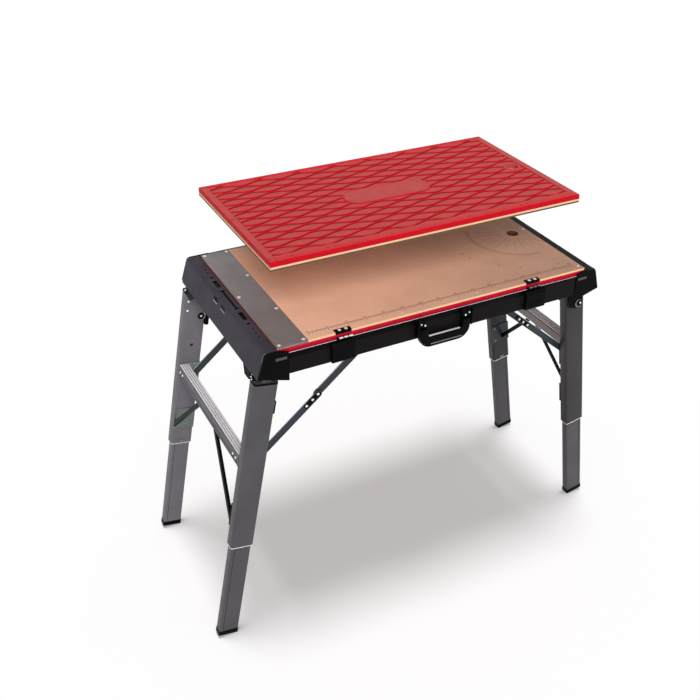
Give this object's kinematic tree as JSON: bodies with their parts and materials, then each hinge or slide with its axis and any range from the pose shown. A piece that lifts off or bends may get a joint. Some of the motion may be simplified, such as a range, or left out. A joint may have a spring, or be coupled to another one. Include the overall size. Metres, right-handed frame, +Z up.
{
  "type": "folding workbench",
  "caption": "Folding workbench with splayed telescoping legs, hinged braces, a carry handle, edge latches and a fibreboard top; a ribbed red rubber panel is lifted above it.",
  "frame": {"origin": "on the floor under the middle of the worktop", "axes": "+X along the bench to the right end, +Y from the handle side to the back, +Z up"},
  "size_m": [1.2339, 0.5328, 1.058],
  "materials": {
    "black_powder_coat": "satin black powder coat",
    "violet_grey_coat": "satin violet grey powder coat",
    "black_plastic": "moulded black plastic",
    "fibreboard": "fibreboard, printed scale",
    "red_rubber": "moulded red rubber",
    "plate_steel": "rolled steel plate",
    "leg_grey": "grey metallic coat",
    "rung_aluminium": "extruded, ribbed top",
    "zinc": "zinc plated",
    "brace_steel": "blue-black oxide"
  },
  "bodies": {
    "bench_frame": {"rail_front": "black_powder_coat", "rail_back": "black_powder_coat", "end_beam_left": "violet_grey_coat", "end_beam_right": "black_powder_coat", "corner_front_left": "black_plastic", "corner_back_left": "black_plastic", "corner_front_right": "black_plastic", "corner_back_right": "black_plastic", "pivot_pin_front_left": "zinc", "pivot_pin_back_left": "zinc", "pivot_pin_front_right": "zinc", "pivot_pin_back_right": "zinc", "worktop_board": "fibreboard", "worktop_mat": "red_rubber", "steel_plate": "plate_steel", "clip_plate_left": "black_plastic", "clip_plate_right": "black_plastic", "handle_mount_left": "black_plastic", "handle_mount_right": "black_plastic"},
    "left_legs": {"leg_outer_front_left": "leg_grey", "leg_outer_back_left": "leg_grey", "gusset_front_left": "zinc", "gusset_back_left": "zinc", "rung_left": "rung_aluminium", "stay_front_left": "brace_steel", "stay_back_left": "brace_steel"},
    "brace_lower_front_left": {"brace_lower_front_left": "brace_steel"},
    "brace_upper_front_left": {"brace_upper_front_left": "brace_steel"},
    "inner_leg_front_left": {"leg_inner_front_left": "leg_grey", "foot_front_left": "black_plastic"},
    "lock_front_left": {"lock_button_front_left": "zinc"},
    "brace_lower_back_left": {"brace_lower_back_left": "brace_steel"},
    "brace_upper_back_left": {"brace_upper_back_left": "brace_steel"},
    "inner_leg_back_left": {"leg_inner_back_left": "leg_grey", "foot_back_left": "black_plastic"},
    "lock_back_left": {"lock_button_back_left": "zinc"},
    "right_legs": {"leg_outer_front_right": "leg_grey", "leg_outer_back_right": "leg_grey", "gusset_front_right": "zinc", "gusset_back_right": "zinc", "rung_right": "rung_aluminium", "stay_front_right": "brace_steel", "stay_back_right": "brace_steel"},
    "brace_lower_front_right": {"brace_lower_front_right": "brace_steel"},
    "brace_upper_front_right": {"brace_upper_front_right": "brace_steel"},
    "inner_leg_front_right": {"leg_inner_front_right": "leg_grey", "foot_front_right": "black_plastic"},
    "lock_front_right": {"lock_button_front_right": "zinc"},
    "brace_lower_back_right": {"brace_lower_back_right": "brace_steel"},
    "brace_upper_back_right": {"brace_upper_back_right": "brace_steel"},
    "inner_leg_back_right": {"leg_inner_back_right": "leg_grey", "foot_back_right": "black_plastic"},
    "lock_back_right": {"lock_button_back_right": "zinc"},
    "handle": {"handle_grip": "black_plastic"},
    "latch_left": {"clip_latch_left": "black_plastic"},
    "latch_right": {"clip_latch_right": "black_plastic"},
    "lifted_panel": {"panel_mat": "red_rubber", "panel_board": "fibreboard", "panel_catch_left": "black_plastic", "panel_catch_right": "black_plastic"}
  },
  "joints": [
    {"name": "left_leg_fold", "type": "hinge", "parent": "bench_frame", "child": "left_legs", "pos_m": [-0.45411, 0, 0.7902], "axis": [0, -1, 0], "range_deg": [0, 100]},
    {"name": "brace_lower_front_left", "type": "hinge", "parent": "left_legs", "child": "brace_lower_front_left", "pos_m": [-0.48796, 0, 0.52604], "axis": [0, 1, 0], "range_deg": [0, 140.15]},
    {"name": "brace_upper_front_left", "type": "hinge", "parent": "bench_frame", "child": "brace_upper_front_left", "pos_m": [-0.16011, 0, 0.803], "axis": [0, -1, 0], "range_deg": [0, 140.85]},
    {"name": "leg_height_front_left", "type": "slide", "parent": "left_legs", "child": "inner_leg_front_left", "axis": [0.1754, 0, 0.9845], "range_m": [0, 0.2]},
    {"name": "lock_press_front_left", "type": "slide", "parent": "left_legs", "child": "lock_front_left", "axis": [0, -1, 0], "range_m": [0, 0.0013], "stiffness_N_per_m": 400, "springref_m": -0.004},
    {"name": "brace_lower_back_left", "type": "hinge", "parent": "left_legs", "child": "brace_lower_back_left", "pos_m": [-0.48796, 0, 0.52604], "axis": [0, 1, 0], "range_deg": [0, 140.15]},
    {"name": "brace_upper_back_left", "type": "hinge", "parent": "bench_frame", "child": "brace_upper_back_left", "pos_m": [-0.16011, 0, 0.803], "axis": [0, -1, 0], "range_deg": [0, 140.85]},
    {"name": "leg_height_back_left", "type": "slide", "parent": "left_legs", "child": "inner_leg_back_left", "axis": [0.1754, 0, 0.9845], "range_m": [0, 0.2]},
    {"name": "lock_press_back_left", "type": "slide", "parent": "left_legs", "child": "lock_back_left", "axis": [0, 1, 0], "range_m": [0, 0.0013], "stiffness_N_per_m": 400, "springref_m": -0.004},
    {"name": "right_leg_fold", "type": "hinge", "parent": "bench_frame", "child": "right_legs", "pos_m": [0.4575, 0, 0.7312], "axis": [0, 1, 0], "range_deg": [0, 100]},
    {"name": "brace_lower_front_right", "type": "hinge", "parent": "right_legs", "child": "brace_lower_front_right", "pos_m": [0.47697, 0, 0.54777], "axis": [0, -1, 0], "range_deg": [0, 152.63]},
    {"name": "brace_upper_front_right", "type": "hinge", "parent": "bench_frame", "child": "brace_upper_front_right", "pos_m": [0.18, 0, 0.8], "axis": [0, 1, 0], "range_deg": [0, 101.47]},
    {"name": "leg_height_front_right", "type": "slide", "parent": "right_legs", "child": "inner_leg_front_right", "axis": [-0.1754, 0, 0.9845], "range_m": [0, 0.2]},
    {"name": "lock_press_front_right", "type": "slide", "parent": "right_legs", "child": "lock_front_right", "axis": [0, -1, 0], "range_m": [0, 0.0013], "stiffness_N_per_m": 400, "springref_m": -0.004},
    {"name": "brace_lower_back_right", "type": "hinge", "parent": "right_legs", "child": "brace_lower_back_right", "pos_m": [0.47697, 0, 0.54777], "axis": [0, -1, 0], "range_deg": [0, 152.63]},
    {"name": "brace_upper_back_right", "type": "hinge", "parent": "bench_frame", "child": "brace_upper_back_right", "pos_m": [0.18, 0, 0.8], "axis": [0, 1, 0], "range_deg": [0, 101.47]},
    {"name": "leg_height_back_right", "type": "slide", "parent": "right_legs", "child": "inner_leg_back_right", "axis": [-0.1754, 0, 0.9845], "range_m": [0, 0.2]},
    {"name": "lock_press_back_right", "type": "slide", "parent": "right_legs", "child": "lock_back_right", "axis": [0, 1, 0], "range_m": [0, 0.0013], "stiffness_N_per_m": 400, "springref_m": -0.004},
    {"name": "handle_swing", "type": "hinge", "parent": "bench_frame", "child": "handle", "pos_m": [0, -0.2608, 0.808], "axis": [-1, 0, 0], "range_deg": [0, 100]},
    {"name": "latch_left_open", "type": "hinge", "parent": "bench_frame", "child": "latch_left", "pos_m": [-0.271, -0.2568, 0.792], "axis": [1, 0, 0], "range_deg": [0, 100]},
    {"name": "latch_right_open", "type": "hinge", "parent": "bench_frame", "child": "latch_right", "pos_m": [0.271, -0.2568, 0.792], "axis": [1, 0, 0], "range_deg": [0, 100]},
    {"name": "panel_lift", "type": "slide", "parent": "bench_frame", "child": "lifted_panel", "axis": [0, 0, 1], "range_m": [-0.173, 0]}
  ],
  "couplings": [
    {"joint": "brace_lower_front_left", "follows": "left_leg_fold", "ratio": 1.3965},
    {"joint": "brace_upper_front_left", "follows": "left_leg_fold", "ratio": 1.4035},
    {"joint": "brace_lower_back_left", "follows": "left_leg_fold", "ratio": 1.3965},
    {"joint": "brace_upper_back_left", "follows": "left_leg_fold", "ratio": 1.4035},
    {"joint": "brace_lower_front_right", "follows": "right_leg_fold", "ratio": 1.5213},
    {"joint": "brace_upper_front_right", "follows": "right_leg_fold", "ratio": 1.0097},
    {"joint": "brace_lower_back_right", "follows": "right_leg_fold", "ratio": 1.5213},
    {"joint": "brace_upper_back_right", "follows": "right_leg_fold", "ratio": 1.0097}
  ]
}
